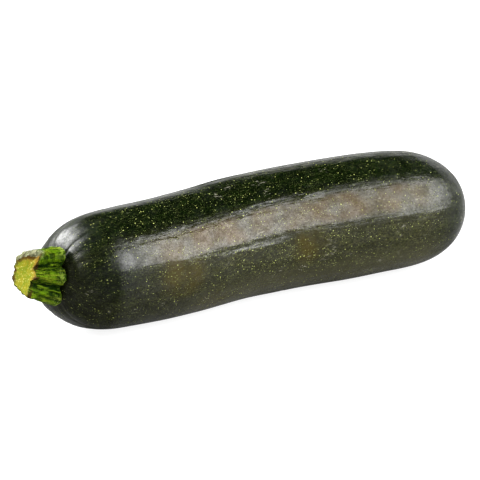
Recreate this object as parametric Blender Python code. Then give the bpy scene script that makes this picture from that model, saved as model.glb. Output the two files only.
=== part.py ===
"""A courgette lying on its side: the fruit, and the cut stub of its stem.

Metres, +Z up. The stem end points to -X, the blossom end to +X, and the fruit rests on a small
flat spot at Z = 0. The origin is the middle of the whole part's box, at its bottom.

Round each ring of points, angles run from +Y towards +Z.
"""

import math

import bmesh
import bpy
from mathutils import Matrix, Vector
from mathutils.bvhtree import BVHTree

# Fruit: lengths run along X from the stem end
FRUIT_LENGTH = 0.1848
FRUIT_RADII = (0.0215, 0.0223, 0.0231, 0.0235, 0.0208)  # evenly spaced, stem end to blossom end
FRUIT_BOW = (0.0, 0.0005, 0.0052, 0.0011, 0.0)  # how far the axis strays to +Y, at the same places
STEM_CAP_LENGTH = 0.0270
STEM_CAP_POWER = 2.3  # 2 is an ellipse, more is squarer
BLOSSOM_CAP_LENGTH = 0.0303
BLOSSOM_CAP_POWER = 2.6
REST_DEPTH = 0.00050  # how deep the flat spot cuts into the round underside
END_LIFT = 0.0014  # how far the axis rises towards both ends

# Ribs: five run out of the stem's ridges, with a weaker one between each two
RIB_COUNT = 5
RIB_TURN = math.radians(158.0)  # where the rib that faces the front lies
RIB_HEIGHT = 0.00055
RIB_FADE = 0.055  # distance in which the ribs sink by two thirds
RIB_FLOOR = 0.35  # the share of their height that they keep all along
HALF_RIB_SHARE = 0.40

# Stem end: a flat seat, off the axis and turned a little to the front, with a moat round it
SEAT_RADIUS = 0.0075
SEAT_SHIFT_Y = -0.0025
SEAT_SHIFT_Z = 0.0027
SEAT_TURN = math.radians(-15.5)  # from -X towards +Y
SEAT_RISE = math.radians(16.5)  # from level towards +Z
SEAT_SHARPNESS = 1.3  # the more, the closer to the seat the rings are shifted and turned
MOAT_RADIUS = 0.0106
MOAT_WIDTH = 0.0021
MOAT_DEPTH = 0.0012

# Blossom end: a puckered hollow with a small round scar in it
HOLLOW_WIDTH = 0.0054
HOLLOW_DEPTH = 0.0011
SCAR_RADIUS = 0.0032
SCAR_HEIGHT = 0.0006

# Stem stub: five ridges, flared at the foot into toes
SEAT_GAP = 0.0004  # clearance between the stem and the skin under it
STEM_LENGTH = 0.0124
STEM_TURN = math.radians(-8.0)
STEM_RISE = math.radians(16.5)
CUT_TURN = math.radians(-3.5)
CUT_RISE = math.radians(17.0)
STEM_FRONT = math.radians(171.0)  # where the front ridge stands on the seat
# Degrees round from there at the foot and at the cut, radius at the foot and at the cut;
# ridge and furrow by turns
STEM_SECTION = (
    (0, 7, 0.0086, 0.0070),
    (35, 33, 0.0071, 0.0050),
    (72, 64, 0.0109, 0.0092),
    (111, 110, 0.0077, 0.0069),
    (152, 158, 0.0104, 0.0083),
    (181, 187, 0.0075, 0.0067),
    (209, 216, 0.0104, 0.0085),
    (254, 262, 0.0077, 0.0069),
    (299, 305, 0.0107, 0.0093),
    (329, 326, 0.0070, 0.0044),
)
RIDGE_ROUNDNESS = 1.1
# Share of the length, grip (1 lies on the skin, 0 is square to the axis), flare, width
STEM_STATIONS = (
    (0.000, 1.00, 1.00, 0.560),
    (0.000, 1.00, 1.00, 0.760),
    (0.008, 1.00, 1.00, 0.900),
    (0.040, 1.00, 1.00, 0.980),
    (0.095, 0.92, 1.00, 1.000),
    (0.170, 0.75, 0.95, 1.000),
    (0.270, 0.50, 0.80, 1.000),
    (0.400, 0.25, 0.55, 1.000),
    (0.560, 0.08, 0.32, 1.000),
    (0.740, 0.00, 0.15, 1.000),
    (0.900, 0.00, 0.05, 1.000),
    (0.975, 0.00, 0.00, 1.000),
    (1.000, 0.00, 0.00, 0.965),
)
CUT_DISH = 0.0005  # how far the cut face sinks in its middle
CUT_RINGS = (0.72, 0.38)  # rings on the cut face, as shares of its radius
PROBE_HEIGHT = 0.003  # where the search for the skin starts, over the seat

# Mesh fineness; the crowding draws the end rings together towards the poles
FRUIT_SEGMENTS = 72
FRUIT_BODY_RINGS = 26
STEM_CAP_RINGS = 13
STEM_CAP_CROWDING = 1.35
BLOSSOM_CAP_RINGS = 13
BLOSSOM_CAP_CROWDING = 1.8
STEM_SEGMENTS = 75
SMOOTH_BELOW = math.radians(40.0)

SKIN_COLOUR = (0.012, 0.036, 0.008, 1.0)
STEM_COLOUR = (0.110, 0.235, 0.030, 1.0)

QUARTER_TURN = math.pi / 2


def curve_through(values, share):
    """A smooth curve through evenly spaced values, read at a share of its length."""
    padded = (2 * values[0] - values[1], *values, 2 * values[-1] - values[-2])
    place = min(max(share, 0.0), 1.0) * (len(values) - 1)
    i = min(int(place), len(values) - 2)
    t = place - i
    a, b, c, d = padded[i : i + 4]
    square = 2 * a - 5 * b + 4 * c - d
    cube = 3 * (b - c) + d - a
    return 0.5 * (2 * b + (c - a) * t + square * t**2 + cube * t**3)


def bump(distance, width):
    """1 at no distance, falling smoothly to nothing at about twice the width."""
    return math.exp(-((distance / width) ** 2))


def ring_turn(turn, rise):
    """The rotation that takes a ring round the X axis to one whose outward axis turns and rises."""
    return Matrix.Rotation(-turn, 3, "Z") @ Matrix.Rotation(rise, 3, "Y")


def ring_spoke(radius, around, out=0.0):
    """A point of an unturned ring, lifted off it by a distance towards -X."""
    return Vector((-out, radius * math.cos(around), radius * math.sin(around)))


def body_radius(x):
    return curve_through(FRUIT_RADII, x / FRUIT_LENGTH)


def stem_cap(turn):
    """(x, share of the body's radius) on the stem end's rounding, turn 0 at its pole."""
    power = 2 / STEM_CAP_POWER
    return STEM_CAP_LENGTH * (1 - math.cos(turn) ** power), math.sin(turn) ** power


def blossom_cap(turn):
    """(x, share of the body's radius) on the blossom end's rounding, turn 0 at its widest."""
    power = 2 / BLOSSOM_CAP_POWER
    reach = BLOSSOM_CAP_LENGTH * math.sin(turn) ** power
    return FRUIT_LENGTH - BLOSSOM_CAP_LENGTH + reach, math.cos(turn) ** power


def seat_edge():
    """The turn on the stem end's rounding at which its section is as wide as the seat."""
    return math.asin((SEAT_RADIUS / FRUIT_RADII[0]) ** (STEM_CAP_POWER / 2))


def fruit_stations():
    """(x, share of the body's radius) of each ring, from the seat to just before the far pole."""
    for i in range(STEM_CAP_RINGS):
        step = (i / STEM_CAP_RINGS) ** STEM_CAP_CROWDING
        yield stem_cap(seat_edge() + (QUARTER_TURN - seat_edge()) * step)
    body = FRUIT_LENGTH - STEM_CAP_LENGTH - BLOSSOM_CAP_LENGTH
    for i in range(FRUIT_BODY_RINGS):
        yield STEM_CAP_LENGTH + body * i / FRUIT_BODY_RINGS, 1.0
    for i in range(BLOSSOM_CAP_RINGS):
        step = 1 - (1 - i / BLOSSOM_CAP_RINGS) ** BLOSSOM_CAP_CROWDING
        yield blossom_cap(QUARTER_TURN * step)


def end_relief(x, radius):
    """How far the skin stands out of its end's rounding: the moat, the hollow and the scar."""
    if x < FRUIT_LENGTH / 2:
        return -MOAT_DEPTH * bump(radius - MOAT_RADIUS, MOAT_WIDTH)
    return SCAR_HEIGHT * bump(radius, SCAR_RADIUS) - HOLLOW_DEPTH * bump(radius, HOLLOW_WIDTH)


def rib_height(x, around):
    """How far a rib lifts the skin off its round section."""
    turn = RIB_COUNT * (around - RIB_TURN)
    strength = RIB_FLOOR + (1 - RIB_FLOOR) * math.exp(-x / RIB_FADE)
    return RIB_HEIGHT * strength * (math.cos(turn) + HALF_RIB_SHARE * math.cos(2 * turn))


def fruit_frame(x, share):
    """Centre and rotation of a ring: near the seat, rings are drawn to its centre and turned."""
    pull = 0.0
    if x < FRUIT_LENGTH / 2:
        pull = (1 - share) / (1 - SEAT_RADIUS / FRUIT_RADII[0])
    pull = pull**SEAT_SHARPNESS
    along = x / FRUIT_LENGTH
    y = curve_through(FRUIT_BOW, along) + pull * SEAT_SHIFT_Y
    z = body_radius(x) - REST_DEPTH + END_LIFT * (2 * along - 1) ** 2 + pull * SEAT_SHIFT_Z
    return Vector((x, y, z)), ring_turn(pull * SEAT_TURN, pull * SEAT_RISE)


def fruit_ring(x, share):
    centre, turn = fruit_frame(x, share)
    side = 1 if x < FRUIT_LENGTH / 2 else -1
    # The ribs die out towards the seat and towards the blossom end's pole
    rib_share = min(max(1.6 * (share - 0.4), 0.0), 1.0)
    points = []
    for i in range(FRUIT_SEGMENTS):
        around = math.tau * i / FRUIT_SEGMENTS
        radius = body_radius(x) * share + rib_share * rib_height(x, around)
        points.append(centre + turn @ ring_spoke(radius, around, side * end_relief(x, radius)))
    return points


def loft(bm, rings):
    """A closed skin over rings that all have the same number of points, in the same order."""
    loops = [[bm.verts.new(point) for point in ring] for ring in rings]
    count = len(loops[0])
    for lower, upper in zip(loops, loops[1:]):
        for i in range(count):
            j = (i + 1) % count
            bm.faces.new((lower[i], lower[j], upper[j], upper[i]))
    for loop in (loops[0], loops[-1]):
        edges = [bm.edges.get((loop[i], loop[(i + 1) % count])) for i in range(count)]
        caps = bmesh.ops.contextual_create(bm, geom=edges)["faces"]
        bmesh.ops.poke(bm, faces=caps)
    bmesh.ops.recalc_face_normals(bm, faces=bm.faces[:])


def flatten_underside(bm):
    """Cuts the mesh off at Z = 0 and closes it with one flat face."""
    bmesh.ops.bisect_plane(
        bm,
        geom=bm.verts[:] + bm.edges[:] + bm.faces[:],
        plane_co=(0, 0, 0),
        plane_no=(0, 0, 1),
        clear_inner=True,
    )
    rim = [edge for edge in bm.edges if edge.is_boundary]
    bmesh.ops.contextual_create(bm, geom=rim)
    bmesh.ops.recalc_face_normals(bm, faces=bm.faces[:])


def make_material(name, colour, roughness):
    material = bpy.data.materials.new(name)
    material.use_nodes = True
    shader = material.node_tree.nodes["Principled BSDF"]
    shader.inputs["Base Color"].default_value = colour
    shader.inputs["Roughness"].default_value = roughness
    shader.inputs["Metallic"].default_value = 0.0
    material.diffuse_color = colour
    return material


def make_object(name, bm, material):
    mesh = bpy.data.meshes.new(name)
    bm.to_mesh(mesh)
    mesh.shade_smooth()
    mesh.set_sharp_from_angle(angle=SMOOTH_BELOW)
    mesh.materials.append(material)
    obj = bpy.data.objects.new(name, mesh)
    bpy.context.scene.collection.objects.link(obj)
    return obj


def model_fruit():
    bm = bmesh.new()
    loft(bm, [fruit_ring(x, share) for x, share in fruit_stations()])
    flatten_underside(bm)
    return bm


def stem_radius(around, share, flare):
    """The stem's radius round one of its rings: round ridges, with sharp furrows between them."""
    turns = [math.radians(foot + (cut - foot) * share) for foot, cut, *_ in STEM_SECTION]
    radii = [cut + (foot - cut) * flare for *_, foot, cut in STEM_SECTION]
    around = (around - turns[0]) % math.tau + turns[0]
    turns.append(turns[0] + math.tau)
    radii.append(radii[0])
    after = next(i for i, turn in enumerate(turns) if turn > around)
    ridge, furrow = (after - 1, after) if after % 2 else (after, after - 1)
    way = (around - turns[ridge]) / (turns[furrow] - turns[ridge])
    crown = max(math.cos(way * QUARTER_TURN), 0.0) ** RIDGE_ROUNDNESS
    return radii[furrow] + (radii[ridge] - radii[furrow]) * crown


def stem_ring(skin, station, shrink=1.0, dish=0.0):
    """One ring of the stem, or with a shrink, one on its cut face."""
    share, grip, flare, width = station
    seat, seat_turn = fruit_frame(*stem_cap(seat_edge()))
    seat_axis = seat_turn @ Vector((-1, 0, 0))
    along = ring_turn(STEM_TURN, STEM_RISE) @ Vector((-1, 0, 0))
    centre = seat + seat_axis * SEAT_GAP + along * (STEM_LENGTH * share)
    turn = ring_turn(
        SEAT_TURN + (CUT_TURN - SEAT_TURN) * share,
        SEAT_RISE + (CUT_RISE - SEAT_RISE) * share,
    )
    points = []
    for i in range(STEM_SEGMENTS):
        around = math.tau * i / STEM_SEGMENTS
        radius = shrink * width * stem_radius(around, share, flare)
        place = STEM_FRONT + around
        point = centre + turn @ ring_spoke(radius, place, -dish)
        if grip > 0:
            probe = seat + seat_turn @ ring_spoke(radius, place, PROBE_HEIGHT)
            distance = skin.ray_cast(probe, -seat_axis)[3]
            point -= seat_axis * (grip * (distance - PROBE_HEIGHT))
        points.append(point)
    return points


def model_stem(fruit):
    skin = BVHTree.FromBMesh(fruit)
    rings = [stem_ring(skin, station) for station in STEM_STATIONS]
    for shrink in CUT_RINGS:
        rings.append(stem_ring(skin, STEM_STATIONS[-1], shrink, CUT_DISH * (1 - shrink**2)))
    bm = bmesh.new()
    loft(bm, rings)
    return bm


def centre_on_origin(shapes):
    """Moves the shapes so that the middle of their common box stands over the origin."""
    points = [vert.co for bm in shapes for vert in bm.verts]
    for axis in (0, 1):
        places = [point[axis] for point in points]
        middle = (min(places) + max(places)) / 2
        for point in points:
            point[axis] -= middle


def main():
    for obj in list(bpy.data.objects):
        bpy.data.objects.remove(obj)
    fruit = model_fruit()
    stem = model_stem(fruit)
    centre_on_origin([fruit, stem])
    make_object("fruit", fruit, make_material("skin", SKIN_COLOUR, 0.3))
    make_object("stem", stem, make_material("stem", STEM_COLOUR, 0.6))
    fruit.free()
    stem.free()


main()
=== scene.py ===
"""Dresses the courgette: a fine skin and stem over the plain solids, light, floor and camera.

Metres, +Z up, in the part's own frame: the stem end points to -X, the blossom end to +X, and the
fruit rests at Z = 0. Round the fruit and the stem, angles run from +Y towards +Z.
"""

import math

import bmesh
import bpy
from mathutils import Matrix, Vector, noise
from mathutils.bvhtree import BVHTree


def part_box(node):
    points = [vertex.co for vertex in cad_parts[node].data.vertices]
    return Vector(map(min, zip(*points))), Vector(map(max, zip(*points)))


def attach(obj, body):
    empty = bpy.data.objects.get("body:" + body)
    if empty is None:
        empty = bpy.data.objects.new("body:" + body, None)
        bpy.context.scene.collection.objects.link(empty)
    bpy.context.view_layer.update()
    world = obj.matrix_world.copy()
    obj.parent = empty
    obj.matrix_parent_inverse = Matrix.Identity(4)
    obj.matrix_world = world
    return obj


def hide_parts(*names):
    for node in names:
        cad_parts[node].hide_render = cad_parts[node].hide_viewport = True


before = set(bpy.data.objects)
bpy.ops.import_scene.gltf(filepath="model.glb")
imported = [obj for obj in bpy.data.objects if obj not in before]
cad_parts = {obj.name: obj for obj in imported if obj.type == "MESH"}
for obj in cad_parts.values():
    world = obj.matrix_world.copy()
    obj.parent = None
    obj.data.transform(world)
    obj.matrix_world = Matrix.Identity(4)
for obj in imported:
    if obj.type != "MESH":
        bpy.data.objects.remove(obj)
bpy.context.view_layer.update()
BODY = "root"

# The fruit's form, as in the solid but for a shallower moat: lengths run along its axis from
# the stem end
FRUIT_LENGTH = 0.1848
FRUIT_RADII = (0.0215, 0.0223, 0.0231, 0.0235, 0.0208)
FRUIT_BOW = (0.0, 0.0005, 0.0052, 0.0011, 0.0)
STEM_CAP_LENGTH = 0.0270
STEM_CAP_POWER = 2.3
BLOSSOM_CAP_LENGTH = 0.0303
BLOSSOM_CAP_POWER = 2.6
REST_DEPTH = 0.00050
END_LIFT = 0.0014
SEAT_RADIUS = 0.0075
SEAT_SHIFT_Y = -0.0025
SEAT_SHIFT_Z = 0.0027
SEAT_TURN = math.radians(-15.5)
SEAT_RISE = math.radians(16.5)
SEAT_SHARPNESS = 1.3
MOAT_RADIUS = 0.0102
MOAT_WIDTH = 0.0018
MOAT_DEPTH = 0.0005
HOLLOW_WIDTH = 0.0054
HOLLOW_DEPTH = 0.0011
SCAR_RADIUS = 0.0032
SCAR_HEIGHT = 0.0006

# Ribs: five run out of the stem's ridges, with a weaker one between each two
RIB_COUNT = 5
RIB_TURN = math.radians(158.0)
RIB_HEIGHT = 0.00055
RIB_FADE = 0.036  # the length over which ribs fade to their floor
RIB_FLOOR = 0.35
HALF_RIB_SHARE = 0.28
RIB_START = 0.40  # share of the body's radius at which ribs begin on the ends' roundings
RIB_GROWTH = 1.6

# The fruit's fine relief. Angles are in degrees round the fruit, lengths in metres.
TUBE_RADIUS = 0.0225  # the even tube that patterns are laid out on
# Creases on the shoulder: where, degrees of drift per metre, width, depth, length
SHOULDER_CREASES = (
    (113, -100, 0.0005, 0.00040, 0.009),
    (132, -300, 0.0008, 0.00032, 0.009),
    (147, -300, 0.0008, 0.00020, 0.010),
    (72, 200, 0.0008, 0.00022, 0.012),
    (40, 0, 0.0009, 0.00040, 0.013),
    (5, 0, 0.0009, 0.00040, 0.013),
    (330, 0, 0.0009, 0.00040, 0.013),
    (290, 0, 0.0009, 0.00040, 0.013),
    (243, -200, 0.0008, 0.00030, 0.014),
    (219, -200, 0.0008, 0.00025, 0.014),
)
# Grooves on the side and on top: where, start, end, width, depth, their lip's share of the depth
GROOVES = ((167, 0.066, 0.088, 0.0010, 0.00010, 0.6), (79, 0.072, 0.132, 0.0014, 0.00042, 0.0))
GROOVE_RUN_OUT = 0.006
GROOVE_LIP_PLACE = 2.1  # in widths from the groove's middle
WANDER_HEIGHT = 0.00028
WANDER_RATE = 55.0
RIPPLE_HEIGHT = 0.00009
RIPPLE_RATE_ALONG = 30.0
RIPPLE_RATE_ROUND = 260.0
PINCH_HEIGHT = 0.00012
PINCH_RATE_ALONG = 40.0
PINCH_RATE_ROUND = 420.0
PINCH_LENGTH = 0.020
DIMPLE_HEIGHT = 0.00045
DIMPLE_RATE = 210.0
DIMPLE_FLOOR = 0.42
DIMPLE_SHIFT = (7.3, 1.9, 4.1)

# The stem's form: the solid's, with undercut toes and a fuller top
SEAT_GAP = 0.0004
STEM_LENGTH = 0.0124
STEM_TURN = math.radians(-8.0)
STEM_RISE = math.radians(16.5)
CUT_TURN = math.radians(-3.5)
CUT_RISE = math.radians(17.0)
STEM_FRONT = math.radians(171.0)
# Degrees round from the front ridge at the foot and at the cut, radius at the foot and at the
# cut; ridge and furrow by turns
STEM_SECTION = (
    (0, 7, 0.0086, 0.0070),
    (35, 33, 0.0071, 0.0050),
    (72, 64, 0.0109, 0.0092),
    (111, 110, 0.0077, 0.0069),
    (152, 158, 0.0104, 0.0083),
    (181, 187, 0.0075, 0.0067),
    (209, 216, 0.0106, 0.0099),
    (254, 262, 0.0078, 0.0085),
    (299, 305, 0.0113, 0.0102),
    (329, 326, 0.0070, 0.0044),
)
RIDGE_ROUNDNESS = 0.85
CUT_STRAIGHTNESS = 0.85  # how nearly the cut's sides run straight from ridge to furrow
CUT_STRAIGHTENING = 1.5  # how late along the stem they become so
# Share of the length, grip (1 lies on the skin, 0 is square to the axis), flare, width
STEM_STATIONS = (
    (0.000, 1.00, 1.00, 0.560),
    (0.000, 1.00, 1.00, 0.700),
    (0.030, 1.00, 1.00, 0.790),
    (0.070, 1.00, 1.00, 0.890),
    (0.115, 0.95, 1.00, 0.970),
    (0.175, 0.82, 0.97, 1.000),
    (0.270, 0.55, 0.90, 1.000),
    (0.400, 0.27, 0.74, 1.000),
    (0.560, 0.08, 0.52, 1.000),
    (0.740, 0.00, 0.27, 1.000),
    (0.900, 0.00, 0.08, 1.000),
    (0.975, 0.00, 0.00, 1.000),
    (1.000, 0.00, 0.00, 0.965),
)
CUT_DISH = 0.0005
# The cut isn't square: where it is lower or higher, by how much and over how many degrees
CUT_STEPS = ((304, -0.0020, 20), (350, -0.0009, 22), (62, 0.0005, 20))
# Between these degrees the top of the cut is bevelled and dried
BEVEL_SPAN = (196, 214, 296, 313)
BEVEL_DROP = 0.0019
BEVEL_START = 0.84
BEVEL_SHARPNESS = 1.3
# Torn and browned spots: degrees, share of the length, spread
TORN_SPOTS = ((330, 0.93, 14), (10, 0.97, 9), (160, 0.99, 16), (186, 1.0, 14), (60, 0.95, 10))
TORN_LENGTH = 0.09
PROBE_HEIGHT = 0.003  # how far off the skin the toes feel for it

# The stem's fine relief: rates are for noise on a circle of radius 1 and on the whole length,
# and shifts keep one layer of noise off another
GRAIN_RADIUS = 0.009  # the even tube that the stem's fibres are laid out on
FIBRE_HEIGHT = 0.00030
FIBRE_RATE_ROUND = 9.0
FIBRE_RATE_ALONG = 2.2
FIBRE_IN_FURROW = 1.3
FIBRE_ON_RIDGE = 0.6
STRAND_HEIGHT = 0.00022
STRAND_RATE_ROUND = 19.0
STRAND_RATE_ALONG = 4.0
STRAND_SHIFT = 3.1
LUMP_HEIGHT = 0.00050
LUMP_RATE_ROUND = 3.2
LUMP_RATE_ALONG = 4.5
LUMP_SHIFT = 5.7
TOE_SWELL = 0.00045
TOE_PLACE = 0.20
TOE_SPAN = 0.13
RAGGED_DEPTH = 0.0009
RAGGED_RATE = 6.5
RAGGED_SHIFT = 9.2
RAGGED_START = 0.86
EDGE_HEIGHT = 0.0006
EDGE_RATE = 5.0
EDGE_PLANE = 0.4
EDGE_START = 0.9
# The wet grains of the cut face, in two sizes
GRAIN_RATE = 1500.0
GRAIN_HEIGHT = 0.00006
FINE_GRAIN_RATE = 2.3
FINE_GRAIN_SHARE = 0.6

# How fine the meshes are
FRUIT_SEGMENTS = 64
FRUIT_BODY_RINGS = 34
STEM_CAP_RINGS = 14
STEM_CAP_CROWDING = 1.3  # how much the rings crowd towards the seat
BLOSSOM_CAP_RINGS = 16
BLOSSOM_CAP_CROWDING = 1.7  # and towards the far pole
FRUIT_SUBDIVISIONS = 2
STEM_SEGMENTS = 240
STEM_RINGS = 60
CUT_FACE_RINGS = 26
FOOT_WIDTH = 0.95  # rings narrower than this share are the foot's hidden underside
CUT_START = 0.05  # what the first ring on the cut face notes as its share of the way in

# Camera: a long lens, from the front left and a little above
CAMERA_PLACE = (-0.69364, -1.02659, 0.41133)
CAMERA_TARGET = (0.00155, 0.00058, 0.02193)
CAMERA_LENS = 260.0
SENSOR_WIDTH = 36.0
CAMERA_REACH = 20.0

QUARTER_TURN = math.pi / 2
SMALLEST_TURN = 1e-7


def curve_through(values, share):
    """A smooth curve through evenly spaced values, read at a share of its length."""
    padded = (2 * values[0] - values[1], *values, 2 * values[-1] - values[-2])
    place = min(max(share, 0.0), 1.0) * (len(values) - 1)
    i = min(int(place), len(values) - 2)
    t = place - i
    a, b, c, d = padded[i : i + 4]
    square = 2 * a - 5 * b + 4 * c - d
    cube = 3 * (b - c) + d - a
    return 0.5 * (2 * b + (c - a) * t + square * t**2 + cube * t**3)


def bump(distance, width):
    """1 at no distance, falling smoothly to nothing at about twice the width."""
    return math.exp(-((distance / width) ** 2))


def ring_turn(turn, rise):
    """The rotation that takes a ring round the X axis to one whose outward axis turns and rises."""
    return Matrix.Rotation(-turn, 3, "Z") @ Matrix.Rotation(rise, 3, "Y")


def ring_spoke(radius, around, out=0.0):
    """A point of an unturned ring, lifted off it by a distance towards -X."""
    return Vector((-out, radius * math.cos(around), radius * math.sin(around)))


def on_tube(x, around, radius=TUBE_RADIUS):
    """The place on an even tube at a length along it and an angle round it."""
    return (x, radius * math.cos(around), radius * math.sin(around))


def body_radius(x):
    return curve_through(FRUIT_RADII, x / FRUIT_LENGTH)


def stem_cap(turn):
    """(x, share of the body's radius) on the stem end's rounding, turn 0 at its pole."""
    power = 2 / STEM_CAP_POWER
    return STEM_CAP_LENGTH * (1 - math.cos(turn) ** power), math.sin(turn) ** power


def blossom_cap(turn):
    """(x, share of the body's radius) on the blossom end's rounding, turn 0 at its widest."""
    power = 2 / BLOSSOM_CAP_POWER
    reach = BLOSSOM_CAP_LENGTH * math.sin(turn) ** power
    return FRUIT_LENGTH - BLOSSOM_CAP_LENGTH + reach, math.cos(turn) ** power


def seat_edge():
    """The turn on the stem end's rounding at which its section is as wide as the seat."""
    return math.asin((SEAT_RADIUS / FRUIT_RADII[0]) ** (STEM_CAP_POWER / 2))


def fruit_stations():
    """(x, share of the body's radius) of each ring, from the seat to just before the far pole."""
    for i in range(STEM_CAP_RINGS):
        step = (i / STEM_CAP_RINGS) ** STEM_CAP_CROWDING
        yield stem_cap(seat_edge() + (QUARTER_TURN - seat_edge()) * step)
    body = FRUIT_LENGTH - STEM_CAP_LENGTH - BLOSSOM_CAP_LENGTH
    for i in range(FRUIT_BODY_RINGS):
        yield STEM_CAP_LENGTH + body * i / FRUIT_BODY_RINGS, 1.0
    for i in range(BLOSSOM_CAP_RINGS):
        step = 1 - (1 - i / BLOSSOM_CAP_RINGS) ** BLOSSOM_CAP_CROWDING
        yield blossom_cap(QUARTER_TURN * step)


def end_relief(x, radius):
    """How far the skin stands out of its end's rounding: the moat, the hollow and the scar."""
    if x < FRUIT_LENGTH / 2:
        return -MOAT_DEPTH * bump(radius - MOAT_RADIUS, MOAT_WIDTH)
    return SCAR_HEIGHT * bump(radius, SCAR_RADIUS) - HOLLOW_DEPTH * bump(radius, HOLLOW_WIDTH)


def fruit_frame(x, share):
    """Centre and (turn, rise) of a ring: near the seat, rings are drawn to it and turned."""
    pull = 0.0
    if x < FRUIT_LENGTH / 2:
        pull = (1 - share) / (1 - SEAT_RADIUS / FRUIT_RADII[0])
    pull = max(pull, 0.0) ** SEAT_SHARPNESS
    along = x / FRUIT_LENGTH
    y = curve_through(FRUIT_BOW, along) + pull * SEAT_SHIFT_Y
    z = body_radius(x) - REST_DEPTH + END_LIFT * (2 * along - 1) ** 2 + pull * SEAT_SHIFT_Z
    return Vector((x, y, z)), (pull * SEAT_TURN, pull * SEAT_RISE)


def deselect_all():
    bpy.ops.object.select_all(action="DESELECT")


def start_ring(name, count, radius, centre):
    """A new object in edit mode: one ring of points round the X axis, all selected."""
    deselect_all()
    bpy.ops.mesh.primitive_circle_add(
        vertices=count, radius=radius, location=centre, rotation=(0, QUARTER_TURN, 0)
    )
    piece = bpy.context.object
    piece.name = name
    bpy.ops.object.transform_apply(location=True, rotation=True, scale=True)
    bpy.ops.object.mode_set(mode="EDIT")
    bpy.ops.mesh.select_all(action="SELECT")
    return piece


def turn_ring(angle, axis, centre):
    """Turns the selected ring about a world axis; with no window the operator's sign is reversed."""
    if abs(angle) > SMALLEST_TURN:
        bpy.ops.transform.rotate(value=-angle, orient_axis=axis, center_override=centre)


def tilt_ring(old, new, centre):
    """Takes the selected ring from one (turn, rise) to another."""
    turn_ring(old[0], "Z", centre)
    turn_ring(new[1] - old[1], "Y", centre)
    turn_ring(-new[0], "Z", centre)


def add_notes(piece, *names):
    """Gives each point of the mesh a vector of each name, for the materials to read."""
    bm = bmesh.from_edit_mesh(piece.data)
    for name in names:
        bm.verts.layers.float_vector.new(name)
    bmesh.update_edit_mesh(piece.data)


def selected_points(bm):
    return [vert for vert in bm.verts if vert.select]


def close_selected_ring():
    """Fills the selected ring and gathers the face to a point in its middle."""
    bpy.ops.mesh.edge_face_add()
    bpy.ops.mesh.poke()


def close_open_ring():
    bpy.ops.mesh.select_all(action="DESELECT")
    bpy.ops.mesh.select_non_manifold()
    close_selected_ring()


def finish_mesh(piece, subdivisions=0):
    """Closes the edit, faces everything outwards, subdivides and shades it smooth."""
    bpy.ops.mesh.select_all(action="SELECT")
    bpy.ops.mesh.normals_make_consistent(inside=False)
    bpy.ops.object.mode_set(mode="OBJECT")
    if subdivisions:
        rounding = piece.modifiers.new("rounding", "SUBSURF")
        rounding.levels = subdivisions
        rounding.render_levels = subdivisions
        bpy.ops.object.modifier_apply(modifier=rounding.name)
    bpy.ops.object.shade_smooth()


# The fruit


def fruit_rings():
    """Centre, (turn, rise), radius and station of each ring of the fruit, ends' relief included."""
    for x, share in fruit_stations():
        radius = body_radius(x) * share
        centre, tilt = fruit_frame(x, share)
        side = 1 if x < FRUIT_LENGTH / 2 else -1
        centre = centre + ring_turn(*tilt) @ Vector((-side * end_relief(x, radius), 0, 0))
        yield centre, tilt, radius, x


def note_flow(piece, centre, tilt, x):
    """Writes on the selected ring its place along the fruit and round it, as on an even tube."""
    bm = bmesh.from_edit_mesh(piece.data)
    flow = bm.verts.layers.float_vector.get("flow")
    back = ring_turn(*tilt).transposed()
    for vert in selected_points(bm):
        spoke = back @ (vert.co - centre)
        vert[flow] = on_tube(x, math.atan2(spoke.z, spoke.y))
    bmesh.update_edit_mesh(piece.data)


def extrude_fruit():
    rings = list(fruit_rings())
    centre, tilt, radius, x = rings[0]
    piece = start_ring("courgette_fruit", FRUIT_SEGMENTS, radius, centre)
    add_notes(piece, "flow")
    tilt_ring((0.0, 0.0), tilt, centre)
    note_flow(piece, centre, tilt, x)
    for next_centre, next_tilt, next_radius, next_x in rings[1:]:
        bpy.ops.mesh.extrude_edges_move(TRANSFORM_OT_translate={"value": next_centre - centre})
        size = next_radius / radius
        bpy.ops.transform.resize(value=(size, size, size), center_override=next_centre)
        tilt_ring(tilt, next_tilt, next_centre)
        centre, tilt, radius, x = next_centre, next_tilt, next_radius, next_x
        note_flow(piece, centre, tilt, x)
    close_selected_ring()
    close_open_ring()
    finish_mesh(piece, FRUIT_SUBDIVISIONS)
    return piece


def rib_height(x, around):
    """How far a rib lifts the skin off its round section."""
    turn = RIB_COUNT * (around - RIB_TURN)
    strength = RIB_FLOOR + (1 - RIB_FLOOR) * math.exp(-x / RIB_FADE)
    return RIB_HEIGHT * strength * (math.cos(turn) + HALF_RIB_SHARE * math.cos(2 * turn))


def angle_between(a, b):
    return (a - b + math.pi) % math.tau - math.pi


def degrees_between(around, degrees):
    return math.degrees(angle_between(around, math.radians(degrees)))


def crease_height(x, around, reach):
    """The creases that run from the stem over the shoulder, and the long shallow grooves."""
    height = 0.0
    for turn, drift, width, depth, length in SHOULDER_CREASES:
        off = angle_between(around, math.radians(turn + drift * x)) * reach
        height -= depth * bump(off, width) * bump(x, length)
    for turn, first, last, width, depth, lip in GROOVES:
        off = angle_between(around, math.radians(turn)) * reach
        inside = bump(max(first - x, x - last, 0.0), GROOVE_RUN_OUT)
        lifted = lip * bump(off - GROOVE_LIP_PLACE * width, width)
        height -= depth * inside * (bump(off, width) - lifted)
    return height


def tube_noise(x, around, rate_along, rate_round):
    """Noise on the even tube, drawn out along it."""
    _, y, z = on_tube(x, around)
    return noise.noise(Vector((x * rate_along, y * rate_round, z * rate_round)))


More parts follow.
